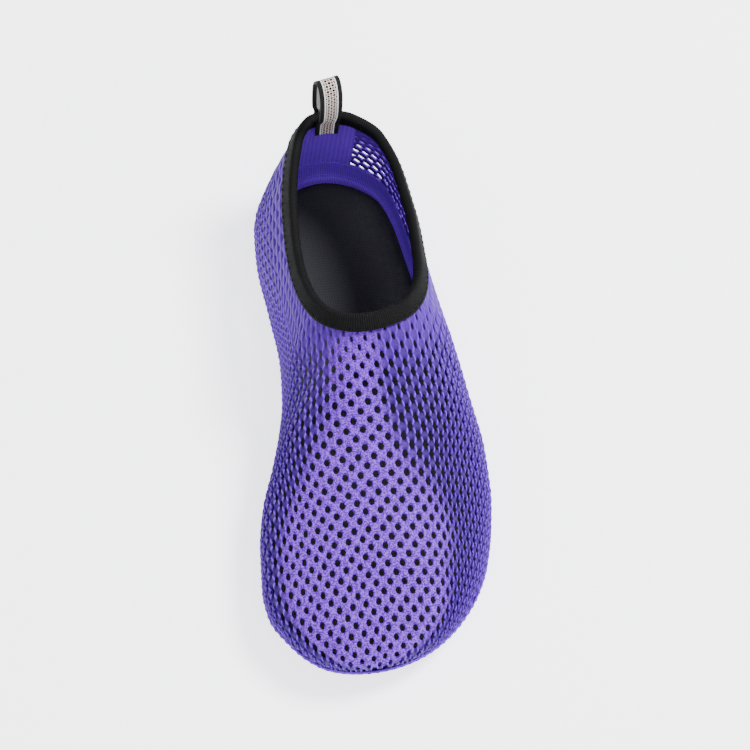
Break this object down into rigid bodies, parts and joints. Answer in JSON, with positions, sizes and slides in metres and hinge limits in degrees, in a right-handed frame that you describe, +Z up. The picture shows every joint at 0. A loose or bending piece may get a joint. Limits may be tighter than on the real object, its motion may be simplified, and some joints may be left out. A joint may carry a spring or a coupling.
{
  "type": "water shoe",
  "caption": "Low slip-on water shoe for the left foot: stretch mesh upper, thin flexible rubber sole, folded collar binding and a heel pull loop.",
  "frame": {"origin": "on the floor, under the middle of the shoe's bounding box", "axes": "+Z up, +Y toward the heel, -Y toward the toe, +X toward the lateral side of this left shoe"},
  "size_m": [0.1042, 0.2504, 0.0885],
  "materials": {
    "mesh": "matte stretch mesh",
    "sole_rubber": "satin moulded rubber",
    "insole_foam": "matte cloth over foam",
    "binding_tape": "satin ribbed elastic",
    "loop_tape": "woven tape with a small all-over speck pattern"
  },
  "bodies": {
    "root": {"upper": "mesh", "outsole": "sole_rubber", "insole": "insole_foam", "collar_binding": "binding_tape", "pull_loop": "loop_tape"}
  },
  "joints": []
}
